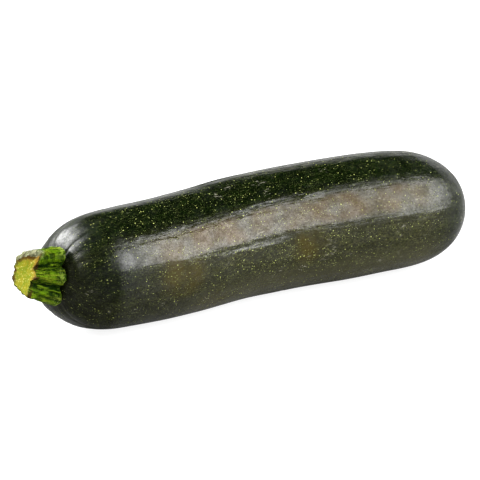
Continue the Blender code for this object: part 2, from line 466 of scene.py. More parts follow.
def skin_height(x, around, point, reach):
    """The skin's small unevenness: wander, lengthwise ripples, pinches at the stem and dimples."""
    height = WANDER_HEIGHT * noise.noise(point * WANDER_RATE)
    height += RIPPLE_HEIGHT * tube_noise(x, around, RIPPLE_RATE_ALONG, RIPPLE_RATE_ROUND)
    pinch = tube_noise(x, around, PINCH_RATE_ALONG, PINCH_RATE_ROUND)
    height -= PINCH_HEIGHT * abs(pinch) * bump(x, PINCH_LENGTH) * min(reach / TUBE_RADIUS, 1.0)
    dimple = noise.noise(point * DIMPLE_RATE + Vector(DIMPLE_SHIFT))
    height -= DIMPLE_HEIGHT * max(dimple - DIMPLE_FLOOR, 0.0)
    return height


def work_fruit_skin(fruit):
    """Lifts and sinks the fine skin along its normals, and flattens the spot that it lies on."""
    mesh = fruit.data
    flow = mesh.attributes["flow"].data
    moves = []
    for vert in mesh.vertices:
        x, y, z = flow[vert.index].vector
        around = math.atan2(z, y)
        end = min(x, FRUIT_LENGTH - x) / STEM_CAP_LENGTH
        share = min(math.sqrt(max(1 - (1 - min(end, 1.0)) ** 2, 0.0)), 1.0)
        reach = body_radius(x) * share
        rib_share = min(max(RIB_GROWTH * (share - RIB_START), 0.0), 1.0)
        height = rib_share * rib_height(x, around)
        height += share * crease_height(x, around, reach)
        height += share * skin_height(x, around, vert.co, reach)
        moves.append(vert.normal * height)
    for vert, move in zip(mesh.vertices, moves):
        vert.co += move
        vert.co.z = max(vert.co.z, 0.0)
    mesh.update()


# The stem


def read_station(step):
    """(share of the length, grip, flare, width) at a step through the stem's stations."""
    return tuple(
        curve_through([station[i] for station in STEM_STATIONS], step) for i in range(4)
    )


def stem_radius(around, share, flare):
    """Radius of a stem ring and how near to a ridge's crest it is, from 0 in a furrow to 1."""
    turns = [math.radians(foot + (cut - foot) * share) for foot, cut, *_ in STEM_SECTION]
    radii = [cut + (foot - cut) * flare for *_, foot, cut in STEM_SECTION]
    around = (around - turns[0]) % math.tau + turns[0]
    turns.append(turns[0] + math.tau)
    radii.append(radii[0])
    after = next(i for i, turn in enumerate(turns) if turn > around)
    ridge, furrow = (after - 1, after) if after % 2 else (after, after - 1)
    way = (around - turns[ridge]) / (turns[furrow] - turns[ridge])
    crown = max(math.cos(way * QUARTER_TURN), 0.0) ** RIDGE_ROUNDNESS
    lobed = radii[furrow] + (radii[ridge] - radii[furrow]) * crown
    span = abs(turns[furrow] - turns[ridge])
    slant = radii[ridge] * math.sin(way * span) + radii[furrow] * math.sin((1 - way) * span)
    straight = radii[ridge] * radii[furrow] * math.sin(span) / slant
    blend = CUT_STRAIGHTNESS * max(share, 0.0) ** CUT_STRAIGHTENING
    return lobed + (straight - lobed) * blend, crown


def past(share, start):
    """How far a share of the stem's length is past a start: 0 before it, 1 at the cut."""
    return max((share - start) / (1 - start), 0.0)


def stem_relief(around, share, crown):
    """How far the stem's skin stands out: fibres along it, lumps on the toes, a ragged cut edge."""
    spoke = Vector((math.cos(around), math.sin(around), 0.0))
    fibre = noise.noise(spoke * FIBRE_RATE_ROUND + Vector((0, 0, share * FIBRE_RATE_ALONG)))
    shift = Vector((STRAND_SHIFT, 0, share * STRAND_RATE_ALONG))
    strand = noise.noise(spoke * STRAND_RATE_ROUND + shift)
    strength = FIBRE_IN_FURROW + (FIBRE_ON_RIDGE - FIBRE_IN_FURROW) * crown
    height = FIBRE_HEIGHT * fibre * strength + STRAND_HEIGHT * strand
    shift = Vector((0, LUMP_SHIFT, share * LUMP_RATE_ALONG))
    height += LUMP_HEIGHT * noise.noise(spoke * LUMP_RATE_ROUND + shift)
    height += TOE_SWELL * crown * bump(share - TOE_PLACE, TOE_SPAN)
    ragged = noise.noise(spoke * RAGGED_RATE + Vector((RAGGED_SHIFT, 0, 0)))
    return height - RAGGED_DEPTH * max(ragged, 0.0) * past(share, RAGGED_START) ** 2


def bevel_share(around):
    """1 where the cut's top is bevelled, falling to 0 at its sides."""
    degrees = math.degrees(around) % 360
    first, full, fading, last = BEVEL_SPAN
    rise = min(max((degrees - first) / (full - first), 0.0), 1.0)
    fall = min(max((last - degrees) / (last - fading), 0.0), 1.0)
    return min(rise, fall)


def cut_step(around):
    """How far the cut is shifted along the stem at an angle round it."""
    return sum(
        step * bump(degrees_between(around, turn), spread) for turn, step, spread in CUT_STEPS
    )


def torn_share(around, share):
    """How torn and brown the skin is at an angle round the stem and a share of its length."""
    return max(
        bump(degrees_between(around, turn), spread) * bump(share - at, TORN_LENGTH)
        for turn, at, spread in TORN_SPOTS
    )


def stem_reach(around, share, flare, width):
    """Radius of a stem ring with its relief and bevel, and how near a ridge's crest it is."""
    radius, crown = stem_radius(around, share, flare)
    radius *= width
    if width > FOOT_WIDTH:
        radius += stem_relief(around, share, crown)
    bevel = bevel_share(around) * past(share, BEVEL_START) ** BEVEL_SHARPNESS
    return radius - BEVEL_DROP * bevel, crown


def cut_relief(point, around, share, shrink):
    """How far the cut stands out at a point: wet grains on its face, an uneven edge round it."""
    if shrink < 1:
        grain = noise.noise(point * GRAIN_RATE)
        grain += FINE_GRAIN_SHARE * noise.noise(point * FINE_GRAIN_RATE * GRAIN_RATE)
        return GRAIN_HEIGHT * grain
    spoke = Vector((math.cos(around), math.sin(around), EDGE_PLANE))
    return EDGE_HEIGHT * noise.noise(spoke * EDGE_RATE) * past(share, EDGE_START)


def stem_ring_points(skin, step, shrink=1.0):
    """Where the points of a stem ring go; with a shrink, those of a ring on the cut face."""
    sink = CUT_DISH * (1 - shrink**2)
    share, grip, flare, width = read_station(step)
    seat, seat_tilt = fruit_frame(*stem_cap(seat_edge()))
    seat_turn = ring_turn(*seat_tilt)
    seat_axis = seat_turn @ Vector((-1, 0, 0))
    along = ring_turn(STEM_TURN, STEM_RISE) @ Vector((-1, 0, 0))
    centre = seat + seat_axis * SEAT_GAP + along * (STEM_LENGTH * share)
    turn = ring_turn(
        SEAT_TURN + (CUT_TURN - SEAT_TURN) * share,
        SEAT_RISE + (CUT_RISE - SEAT_RISE) * share,
    )
    points = []
    for i in range(STEM_SEGMENTS):
        around = math.tau * i / STEM_SEGMENTS
        radius, crown = stem_reach(around, share, flare, width)
        radius *= shrink
        place = STEM_FRONT + around
        point = centre + turn @ ring_spoke(radius, place, -sink)
        point += along * (cut_step(around) * max(share, 0.0) ** 2 * shrink**2)
        point += along * cut_relief(point, around, share, shrink)
        if grip > 0:
            probe = seat + seat_turn @ ring_spoke(radius, place, PROBE_HEIGHT)
            distance = skin.ray_cast(probe, -seat_axis)[3]
            point -= seat_axis * (grip * (distance - PROBE_HEIGHT))
        wear = (bevel_share(around), torn_share(around, share), 0.0)
        points.append((point, crown, share, around, wear))
    return points


def place_stem_ring(piece, points, cut):
    """Moves the selected ring to its points, and notes what its material reads."""
    bm = bmesh.from_edit_mesh(piece.data)
    grain = bm.verts.layers.float_vector.get("grain")
    form = bm.verts.layers.float_vector.get("form")
    worn = bm.verts.layers.float_vector.get("wear")
    ring = sorted(selected_points(bm), key=lambda vert: vert.index)
    for vert, (point, crown, share, around, wear) in zip(ring, points):
        vert.co = point
        vert[grain] = on_tube(STEM_LENGTH * share, around, GRAIN_RADIUS)
        vert[form] = (share, crown, cut)
        vert[worn] = wear
    bmesh.update_edit_mesh(piece.data)


def extrude_stem(fruit):
    bm = bmesh.new()
    bm.from_mesh(fruit.data)
    skin = BVHTree.FromBMesh(bm)
    bm.free()
    piece = start_ring("courgette_stem", STEM_SEGMENTS, SEAT_RADIUS, (0, 0, 0))
    add_notes(piece, "grain", "form", "wear")
    place_stem_ring(piece, stem_ring_points(skin, 0.0), 0.0)
    for i in range(1, STEM_RINGS + 1):
        bpy.ops.mesh.extrude_edges_move()
        place_stem_ring(piece, stem_ring_points(skin, i / STEM_RINGS), 0.0)
    for i in range(1, CUT_FACE_RINGS):
        shrink = 1 - i / CUT_FACE_RINGS
        cut = CUT_START + (1 - CUT_START) * (1 - shrink)
        bpy.ops.mesh.extrude_edges_move()
        place_stem_ring(piece, stem_ring_points(skin, 1.0, shrink), cut)
    close_selected_ring()
    close_open_ring()
    finish_mesh(piece)
    return piece


# Materials: small tools that place and wire nodes


def add_node(tree, kind, inputs=None, **settings):
    """A new node with its settings and inputs; an input is a plain value or another's output."""
    node = tree.nodes.new(kind)
    for name, value in settings.items():
        setattr(node, name, value)
    for socket, value in (inputs or {}).items():
        if isinstance(value, bpy.types.NodeSocket):
            tree.links.new(value, node.inputs[socket])
        else:
            node.inputs[socket].default_value = value
    return node


def do_math(tree, operation, first, second):
    return add_node(tree, "ShaderNodeMath", {0: first, 1: second}, operation=operation).outputs[0]


def remap(tree, value, low, high, to_low=0.0, to_high=1.0, kind="SMOOTHSTEP"):
    """The value carried smoothly from one range to another, held at the ends."""
    inputs = {"Value": value, "From Min": low, "From Max": high, "To Min": to_low, "To Max": to_high}
    return add_node(tree, "ShaderNodeMapRange", inputs, interpolation_type=kind).outputs["Result"]


def level(tree, mask, off, on):
    """A factor that is one value where the mask is 0 and another where it is 1."""
    return remap(tree, mask, 0, 1, off, on, "LINEAR")


def mix_colours(tree, factor, first, second):
    inputs = {"Factor": factor, 6: first, 7: second}
    return add_node(tree, "ShaderNodeMix", inputs, data_type="RGBA").outputs[2]


def draw_out(tree, vector, along, shift=(0.0, 0.0, 0.0)):
    """The vector for a pattern whose rate along X is only a share of its rate across."""
    inputs = {"Vector": vector, "Scale": (along, 1.0, 1.0), "Location": shift}
    return add_node(tree, "ShaderNodeMapping", inputs).outputs["Vector"]


def read_attribute(tree, name):
    return add_node(tree, "ShaderNodeAttribute", attribute_name=name).outputs["Vector"]


def read_parts(tree, vector):
    return add_node(tree, "ShaderNodeSeparateXYZ", {"Vector": vector}).outputs


def object_place(tree):
    return add_node(tree, "ShaderNodeTexCoord").outputs["Object"]


def raw_noise(tree, vector, rate, detail):
    inputs = {"Vector": vector, "Scale": rate, "Detail": detail}
    return add_node(tree, "ShaderNodeTexNoise", inputs).outputs["Fac"]


def new_group(name, inputs, outputs):
    """An empty node group; inputs are (name, kind, default) and outputs (name, kind)."""
    group = bpy.data.node_groups.new(name, "ShaderNodeTree")
    for label, kind, default in inputs:
        socket = group.interface.new_socket(label, in_out="INPUT", socket_type=kind)
        if default is not None:
            socket.default_value = default
    for label, kind in outputs:
        group.interface.new_socket(label, in_out="OUTPUT", socket_type=kind)
    entry = group.nodes.new("NodeGroupInput")
    end = group.nodes.new("NodeGroupOutput")
    return group, entry.outputs, end.inputs


def use_group(tree, group, inputs):
    return add_node(tree, "ShaderNodeGroup", inputs, node_tree=group).outputs[0]


NUMBER = "NodeSocketFloat"
VECTOR = "NodeSocketVector"
WHITE = (1.0, 1.0, 1.0, 1.0)


def make_flecks_group():
    """Scattered round flecks of varied size and strength; Share is how many of the places hold one."""
    group, given, end = new_group(
        "flecks",
        (("Place", VECTOR, None), ("Rate", NUMBER, 500.0), ("Size", NUMBER, 0.2),
         ("Share", NUMBER, 0.5), ("Softness", NUMBER, 0.5)),
        (("Mask", NUMBER),),
    )
    cells = add_node(group, "ShaderNodeTexVoronoi", {"Vector": given["Place"], "Scale": given["Rate"]})
    dice = add_node(group, "ShaderNodeSeparateColor", {"Color": cells.outputs["Color"]}).outputs
    size = do_math(group, "MULTIPLY", given["Size"], level(group, dice[1], 0.45, 1.0))
    core = do_math(group, "MULTIPLY", size, do_math(group, "SUBTRACT", 1.0, given["Softness"]))
    spot = remap(group, cells.outputs["Distance"], core, size, 1.0, 0.0)
    chosen = do_math(group, "LESS_THAN", dice[0], given["Share"])
    strength = level(group, dice[2], 0.35, 1.0)
    mask = do_math(group, "MULTIPLY", spot, do_math(group, "MULTIPLY", chosen, strength))
    group.links.new(mask, end["Mask"])
    return group


def make_patches_group():
    """Soft-edged patches of noise between two heights."""
    group, given, end = new_group(
        "patches",
        (("Place", VECTOR, None), ("Rate", NUMBER, 60.0), ("Detail", NUMBER, 3.0),
         ("Low", NUMBER, 0.45), ("High", NUMBER, 0.65)),
        (("Mask", NUMBER),),
    )
    cloud = raw_noise(group, given["Place"], given["Rate"], given["Detail"])
    mask = remap(group, cloud, given["Low"], given["High"])
    group.links.new(mask, end["Mask"])
    return group


def pattern_tools(tree, flecks, patches):
    """Three tools for one material: a product, patches of noise and scattered flecks."""

    def times(*values):
        product = values[0]
        for value in values[1:]:
            product = do_math(tree, "MULTIPLY", product, value)
        return product

    def cloud(vector, pattern, shift=(0.0, 0.0, 0.0)):
        along, rate, detail, low, high = pattern
        vector = draw_out(tree, vector, along, shift)
        inputs = {"Place": vector, "Rate": rate, "Detail": detail, "Low": low, "High": high}
        return use_group(tree, patches, inputs)

    def scatter(vector, pattern, share):
        along, rate, size, softness = pattern
        vector = draw_out(tree, vector, along)
        inputs = {"Place": vector, "Rate": rate, "Size": size, "Share": share, "Softness": softness}
        return use_group(tree, flecks, inputs)

    return times, cloud, scatter


def new_material(name, roughness):
    """A material with a Principled shader; returns it, its tree and the shader."""
    material = bpy.data.materials.new(name)
    material.use_nodes = True
    shader = material.node_tree.nodes["Principled BSDF"]
    shader.inputs["Roughness"].default_value = roughness
    return material, material.node_tree, shader


def emboss(tree, shader, layers):
    """Chains bump nodes into the shader's normal; layers are (height, distance in metres)."""
    normal = None
    for height, distance in layers:
        inputs = {"Height": height, "Distance": distance}
        if normal is not None:
            inputs["Normal"] = normal
        normal = add_node(tree, "ShaderNodeBump", inputs).outputs["Normal"]
    tree.links.new(normal, shader.inputs["Normal"])


# The skin: nearly black green, flecked, mottled and a little scuffed
SKIN_DARK = (0.0004, 0.0013, 0.0001, 1.0)
SKIN_GREEN = (0.0034, 0.0078, 0.0008, 1.0)
OLIVE_DARK = (0.0095, 0.0100, 0.0026, 1.0)
OLIVE = (0.0335, 0.0335, 0.0115, 1.0)
# Paler olive painted on the underside as reflection of the white floor
OLIVE_FLOOR_REFLECTION = (0.0660, 0.0620, 0.0310, 1.0)
# Brownish tint painted along the highlight: it gives the key light's highlight its warm hue
HIGHLIGHT_TINT_BROWN = (0.0700, 0.0340, 0.0080, 1.0)
FLECK_YELLOW = (0.40, 0.44, 0.12, 1.0)
FLECK_GREEN = (0.18, 0.22, 0.060, 1.0)
FLECK_OLIVE = (0.27, 0.31, 0.10, 1.0)
# Pale grey of the scuffs, and of the painted rim reflection along the top
SCUFF_AND_RIM_SHEEN_GREY = (0.34, 0.33, 0.25, 1.0)
SCAR_DARK = (0.035, 0.028, 0.012, 1.0)
SCAR_BROWN = (0.15, 0.11, 0.060, 1.0)
STAIN_BROWN = (0.0400, 0.0290, 0.0020, 1.0)
SHEEN_BROWN = (1.0, 0.84, 0.71, 1.0)
# Clusters of pale scuffs: length along the fruit, degrees round it, size
SCUFF_CLUSTERS = (
    (0.102, 204, 0.0022),
    (0.095, 189, 0.0016),
    (0.123, 173, 0.0018),
    (0.104, 178, 0.0014),
    (0.058, 214, 0.0020),
    (0.140, 226, 0.0022),
)
# Brownish patches, in the same way
BROWN_PATCHES = ((0.046, 176, 0.014), (0.104, 180, 0.010), (0.060, 232, 0.012))
# Finely wrinkled spots, and dull ones on top
WRINKLED_SPOTS = ((0.063, 138, 0.009), (0.069, 147, 0.004))
DULL_SPOTS = ((0.073, 76, 0.012), (0.084, 73, 0.012))
# Painted shade beside the stem: there the front's olive gives way to black-green
SHADE_BESIDE_STEM = ((0.016, 163, 0.017),)
# Rows of flecks out from under the stem, in degrees round the fruit
FLECK_ROWS = (208, 217, 227, 241)
FLECK_ROW_SPREAD = 3.0  # half a row's width
ROW_CORE = 0.4  # the share of that in which a row is full
SPOT_CORE = 0.3  # the same for round patches

# Patches of noise: the share of the rate that they have along the fruit, rate, detail, and the
# two heights of noise between which a patch fades in
BANDS = (0.10, 260.0, 2.0, 0.38, 0.64)
BLOTCHES = (1.0, 95.0, 5.0, 0.36, 0.66)
SHADES = (0.35, 330.0, 3.0, 0.36, 0.66)
MOTTLE = (0.55, 1900.0, 3.0, 0.40, 0.68)
STREAKS = (0.25, 1900.0, 2.0, 0.56, 0.74)
SCUFF_AREAS = (1.0, 130.0, 3.0, 0.60, 0.72)
SCUFF_MARKS = (0.35, 1500.0, 2.0, 0.54, 0.66)
# Faint pale streaks along the top: painted reflection on the top rim
RIM_SHEEN_STREAKS = (0.12, 1500.0, 3.0, 0.50, 0.64)
CORK = (1.0, 1100.0, 6.0, 0.35, 0.65)
DULL_PATCHES = (1.0, 190.0, 5.0, 0.40, 0.66)
PITS = (1.0, 1500.0, 3.0, 0.42, 0.66)
VEILS = (0.6, 420.0, 5.0, 0.42, 0.60)
WRINKLES = (2.2222, 630.0, 3.0, 0.44, 0.58)
# Flecks: the share of the rate that they have along the fruit, rate, size, softness
BRIGHT_FLECKS = (0.75, 1000.0, 0.25, 0.5)
ROW_FLECKS = (0.8, 950.0, 0.34, 0.5)
DIM_FLECKS = (0.8, 1700.0, 0.34, 0.6)
FINE_FLECKS = (0.7, 2600.0, 0.42, 0.6)
SCUFF_GRAINS = (1.0, 1500.0, 0.45, 0.5)
# Where the scar begins, as shares of the fruit's length
SCAR_EDGE = (0.9974, 0.9984)
SCAR_RIM = (0.9978, 0.9988)
SKIN_IOR = 1.40


def facing(tree, flow, degrees, low, high, radius=TUBE_RADIUS):
    """A mask of the side of the tube at an angle; low and high are cosines from its middle."""
    around = math.radians(degrees)
    way = (0, math.cos(around) / radius, math.sin(around) / radius)
    dot = add_node(tree, "ShaderNodeVectorMath", {0: flow, 1: way}, operation="DOT_PRODUCT")
    return remap(tree, dot.outputs["Value"], low, high)


def near_places(tree, flow, places):
    """A mask of round patches about some places on the tube."""
    mask = 0.0
    for x, degrees, size in places:
        point = on_tube(x, math.radians(degrees))
        gap = add_node(tree, "ShaderNodeVectorMath", {0: flow, 1: point}, operation="DISTANCE")
        spot = remap(tree, gap.outputs["Value"], size, SPOT_CORE * size)
        mask = do_math(tree, "MAXIMUM", spot, mask)
    return mask


def near_lines(tree, flow, angles, spread):
    """A mask of soft lines along the tube; spread is half a line's width in degrees."""
    edge = math.cos(math.radians(spread))
    core = math.cos(math.radians(ROW_CORE * spread))
    mask = 0.0
    for degrees in angles:
        mask = do_math(tree, "MAXIMUM", facing(tree, flow, degrees, edge, core), mask)
    return mask


def scuff_and_rim_sheen_mask(tree, tools, flow, place, along):
    """Pale scuffs: rubbed areas and clusters on the front, and faint streaks drawn out along the top
    that are painted reflection on the top rim.
    """
    times, cloud, scatter = tools
    clusters = times(near_places(tree, flow, SCUFF_CLUSTERS), scatter(place, SCUFF_GRAINS, 0.8))
    rubbed = times(cloud(place, SCUFF_AREAS), cloud(flow, SCUFF_MARKS), 0.3)
    # Painted rim reflection: pale streaks along the top
    drawn = times(
        facing(tree, flow, 78, 0.93, 0.985),
        remap(tree, along, 0.42, 0.55),
        remap(tree, along, 0.78, 0.92, 1.0, 0.0),
        cloud(flow, RIM_SHEEN_STREAKS),
        0.13,
    )
    return do_math(tree, "MAXIMUM", do_math(tree, "MAXIMUM", rubbed, clusters), drawn)


def skin_marks(tree, tools, flow, place, along):
    """The skin's masks by name: its mottling, its flecks and scuffs with the rim's painted
    reflection, where olive shows with painted shade beside the stem, and the painted highlight tint.
    """
    times, cloud, scatter = tools
    bands = cloud(flow, BANDS)
    shades = cloud(flow, SHADES)
    density = times(
        remap(tree, along, 0.02, 0.40, 0.44, 0.58),
        level(tree, bands, 0.45, 1.5),
        level(tree, shades, 0.55, 1.3),
        remap(tree, along, 0.50, 0.85, 1.0, 0.75),
    )
    rows = times(
        near_lines(tree, flow, FLECK_ROWS, FLECK_ROW_SPREAD),
        remap(tree, along, 0.06, 0.13, 1.0, 0.0),
        scatter(place, ROW_FLECKS, 0.9),
    )
    front = times(
        facing(tree, flow, 200, 0.24, 0.62),
        remap(tree, along, 0.02, 0.32, 0.35, 1.0),
        remap(tree, along, 0.84, 0.94, 1.0, 0.15),
        # Painted shade beside the stem
        level(tree, near_places(tree, flow, SHADE_BESIDE_STEM), 1.0, 0.20),
    )
    blotches = cloud(place, BLOTCHES)
    # Painted highlight tint: brown only on the band where the key light's highlight falls; it also
    # tints the sheen there
    brown = times(
        facing(tree, flow, 150, 0.960, 0.992),
        remap(tree, along, 0.12, 0.28),
        remap(tree, along, 0.78, 0.90, 1.0, 0.0),
        level(tree, blotches, 0.25, 0.9),
    )
    stains = times(near_places(tree, flow, BROWN_PATCHES), level(tree, blotches, 0.25, 0.75))
    return {
        "mottle": times(cloud(flow, MOTTLE), level(tree, shades, 0.45, 1.25)),
        "streaks": cloud(flow, STREAKS),
        "bright": do_math(tree, "MAXIMUM", scatter(flow, BRIGHT_FLECKS, density), rows),
        "dim": scatter(place, DIM_FLECKS, density),
        "fine": scatter(place, FINE_FLECKS, 0.5),
        "scuffs_and_rim_sheen": scuff_and_rim_sheen_mask(tree, tools, flow, place, along),
        "front": front,
        "brown": brown,
        "stains": stains,
        "dull": cloud(place, DULL_PATCHES),
        "wrinkles": times(near_places(tree, flow, WRINKLED_SPOTS), cloud(flow, WRINKLES)),
        "scar": remap(tree, along, *SCAR_EDGE),
    }


def skin_colour(tree, tools, flow, place, along, marks):
    """Black-green above, olive in front and below, then stains, flecks, scuffs and the scar.
    Painted light: paler olive underneath for the floor's reflection, black-green beside the stem
    for shade, a brown tint along the highlight, and pale streaks along the top for the rim's
    reflection.
    """
    times, cloud, _ = tools
    green = mix_colours(tree, marks["mottle"], SKIN_DARK, SKIN_GREEN)
    olive = mix_colours(tree, marks["mottle"], OLIVE_DARK, OLIVE)
    # Painted reflection: the underside turns paler olive, standing in for the white floor's reflection
    floor_reflection = times(facing(tree, flow, 245, 0.55, 0.97), remap(tree, along, 0.18, 0.45), 0.5)
    olive = mix_colours(tree, floor_reflection, olive, OLIVE_FLOOR_REFLECTION)
    colour = mix_colours(tree, marks["front"], green, olive)
    colour = mix_colours(tree, times(marks["brown"], 0.35), colour, HIGHLIGHT_TINT_BROWN)
    colour = mix_colours(tree, marks["stains"], colour, STAIN_BROWN)
    colour = mix_colours(tree, times(marks["streaks"], 0.09), colour, FLECK_GREEN)
    colour = mix_colours(tree, times(marks["fine"], 0.24), colour, FLECK_GREEN)
    dimness = remap(tree, along, 0.30, 0.80, 0.70, 0.28)
    dimness = do_math(tree, "MAXIMUM", dimness, marks["front"])
    dim_colour = mix_colours(tree, marks["front"], FLECK_GREEN, FLECK_OLIVE)
    colour = mix_colours(tree, times(marks["dim"], dimness), colour, dim_colour)
    colour = mix_colours(tree, marks["bright"], colour, FLECK_YELLOW)
    # Scuffs, with the painted rim reflection along the top
    colour = mix_colours(tree, marks["scuffs_and_rim_sheen"], colour, SCUFF_AND_RIM_SHEEN_GREY)
    corkiness = level(tree, cloud(place, CORK), 0.35, 1.0)
    cork = mix_colours(tree, corkiness, SCAR_DARK, SCAR_BROWN)
    cork = mix_colours(tree, remap(tree, along, *SCAR_RIM, 0.8, 0.0), cork, SCAR_DARK)
    return mix_colours(tree, marks["scar"], colour, cork)


def skin_roughness(tree, tools, along, marks):
    """Smoothest in the middle, rougher near the stem and where the skin is dull or scuffed."""
    times = tools[0]
    roughness = remap(tree, along, 0.05, 0.19, 0.30, 0.16)
    for more in (
        times(marks["dull"], 0.10),
        remap(tree, along, 0.50, 0.85, 0.0, 0.05),
        times(marks["scuffs_and_rim_sheen"], 0.25),
        times(marks["scar"], 0.45),
    ):
        roughness = do_math(tree, "ADD", roughness, more)
    return roughness


def skin_sheen(tree, tools, flow, place, along, marks):
    """How strongly the wax mirrors: less on the shoulder's front and where it is dull or pitted."""
    times, cloud, _ = tools
    shoulder = level(tree, facing(tree, flow, 95, 0.80, 0.98), 0.28, 0.82)
    shoulder = do_math(tree, "MAXIMUM", shoulder, remap(tree, along, 0.080, 0.125))
    return times(
        remap(tree, along, 0.20, 0.85, 0.80, 0.54),
        remap(tree, along, 0.94, 0.98, 1.0, 1.5),
        shoulder,
        level(tree, cloud(flow, VEILS), 1.0, 0.74),
        level(tree, marks["dull"], 1.0, 0.70),
        level(tree, cloud(place, PITS), 1.0, 0.60),
        level(tree, marks["wrinkles"], 1.0, 0.65),
        level(tree, near_places(tree, flow, DULL_SPOTS), 1.0, 0.12),
    )


def make_skin(flecks, patches):
    material, tree, shader = new_material("courgette_skin", 0.3)
    tools = pattern_tools(tree, flecks, patches)
    times = tools[0]
    flow = read_attribute(tree, "flow")
    place = object_place(tree)
    # 0 at the stem end, 1 at the blossom end
    along = do_math(tree, "DIVIDE", read_parts(tree, flow)["X"], FRUIT_LENGTH)
    marks = skin_marks(tree, tools, flow, place, along)
    colour = skin_colour(tree, tools, flow, place, along, marks)
    tree.links.new(colour, shader.inputs["Base Color"])
    roughness = skin_roughness(tree, tools, along, marks)
    tree.links.new(roughness, shader.inputs["Roughness"])
    shader.inputs["IOR"].default_value = SKIN_IOR
    sheen = skin_sheen(tree, tools, flow, place, along, marks)
    tree.links.new(sheen, shader.inputs["Specular IOR Level"])
    tint = mix_colours(tree, marks["brown"], WHITE, SHEEN_BROWN)
    tree.links.new(tint, shader.inputs["Specular Tint"])

    dents = raw_noise(tree, place, 420.0, 3.0)
    ridges = raw_noise(tree, draw_out(tree, flow, 0.14), 480.0, 3.0)
    emboss(
        tree,
        shader,
        (
            (dents, 0.00013),
            (times(ridges, remap(tree, along, 0.12, 0.35, 0.40, 1.0)), 0.00018),
            (marks["streaks"], 0.00001),
            (marks["bright"], 0.00003),
            (marks["wrinkles"], 0.00002),
        ),
    )
    return material


# The stem: green ridges, pale toes, and a yellow-green cut that has dried brown at its edge
RIDGE_GREEN = (0.075, 0.144, 0.0020, 1.0)
# The furrows' dark green, deepened by painted shade; it also paints the foot's shade and the dark
# seams
FURROW_GREEN_AND_SHADE = (0.0042, 0.0150, 0.0005, 1.0)
FIBRE_GREEN = (0.120, 0.200, 0.007, 1.0)
TOE_PALE = (0.190, 0.255, 0.035, 1.0)
FIBRE_PALE = (0.190, 0.235, 0.016, 1.0)
FLESH_YELLOW = (0.158, 0.146, 0.008, 1.0)
FLESH_PALE = (0.400, 0.400, 0.110, 1.0)
FLESH_GREEN = (0.105, 0.128, 0.006, 1.0)
FLESH_ORANGE = (0.240, 0.120, 0.014, 1.0)
DRY_BROWN = (0.034, 0.014, 0.004, 1.0)
DRY_GREY = (0.200, 0.200, 0.120, 1.0)
# Pale dots painted on the toes as glints
PAINTED_GLINT_PALE = (0.420, 0.480, 0.160, 1.0)

# Patches and flecks on the stem, in the same way as on the skin
FIBRES = (0.16, 950.0, 2.0, 0.50, 0.62)
SEAMS = (0.14, 1100.0, 2.0, 0.52, 0.62)
SEAM_SHIFT = (0.1, 0.2, 0.3)
THREADS = (0.22, 480.0, 3.0, 0.42, 0.60)
LUMPS = (1.0, 600.0, 4.0, 0.40, 0.62)
RAGGED = (1.0, 330.0, 3.0, 0.40, 0.62)
CRYSTALS = (1.0, 1350.0, 0.55, 0.7)
# Where the painted glints fall
PAINTED_GLINTS = (1.0, 2000.0, 0.50, 0.6)
STEM_GLOSS = 0.02


def side_colour(tree, tools, share, crown, wear, marks):
    """The stem's side: dark in the furrows, partly painted shade, green on the ridges, with pale
    fibres and toes, painted glints on the toes and painted shade at the foot.
    """
    times = tools[0]
    lumps, ragged = marks["lumps"], marks["ragged"]
    height = do_math(tree, "ADD", crown, times(lumps, 0.55))
    height = do_math(tree, "ADD", height, times(marks["threads"], 0.45))
    # Darker towards the furrows by height: partly the stem's own colour, partly painted shade in the
    # furrows
    side = mix_colours(tree, remap(tree, height, 0.62, 1.75), FURROW_GREEN_AND_SHADE, RIDGE_GREEN)
    fibre_colour = mix_colours(tree, remap(tree, crown, 0.3, 0.8), FIBRE_GREEN, FIBRE_PALE)
    fibre_share = times(marks["fibres"], remap(tree, crown, 0.0, 0.8, 0.9, 0.45))
    side = mix_colours(tree, fibre_share, side, fibre_colour)
    side = mix_colours(tree, times(marks["seams"], 0.75), side, FURROW_GREEN_AND_SHADE)
    toes = times(remap(tree, share, 0.42, 0.12), remap(tree, crown, 0.45, 0.95))
    side = mix_colours(tree, times(toes, lumps, 0.85), side, TOE_PALE)
    # Painted glints: pale dots on the toes stand in for small highlights
    side = mix_colours(tree, times(toes, marks["painted_glints"], 0.8), side, PAINTED_GLINT_PALE)
    # Painted shade: the foot darkens where it meets the fruit
    side = mix_colours(tree, times(remap(tree, share, 0.12, 0.03), 0.85), side, FURROW_GREEN_AND_SHADE)
    bevel = times(wear["X"], remap(tree, share, 0.78, 0.88))
    side = mix_colours(tree, times(bevel, level(tree, lumps, 0.5, 1.0)), side, DRY_GREY)
    torn = remap(tree, do_math(tree, "ADD", wear["Y"], times(ragged, 0.35)), 0.55, 0.95)
    side = mix_colours(tree, times(torn, 0.9), side, DRY_BROWN)
    dry = times(remap(tree, share, 0.90, 0.985), ragged)
    return mix_colours(tree, times(dry, 0.85), side, DRY_BROWN)


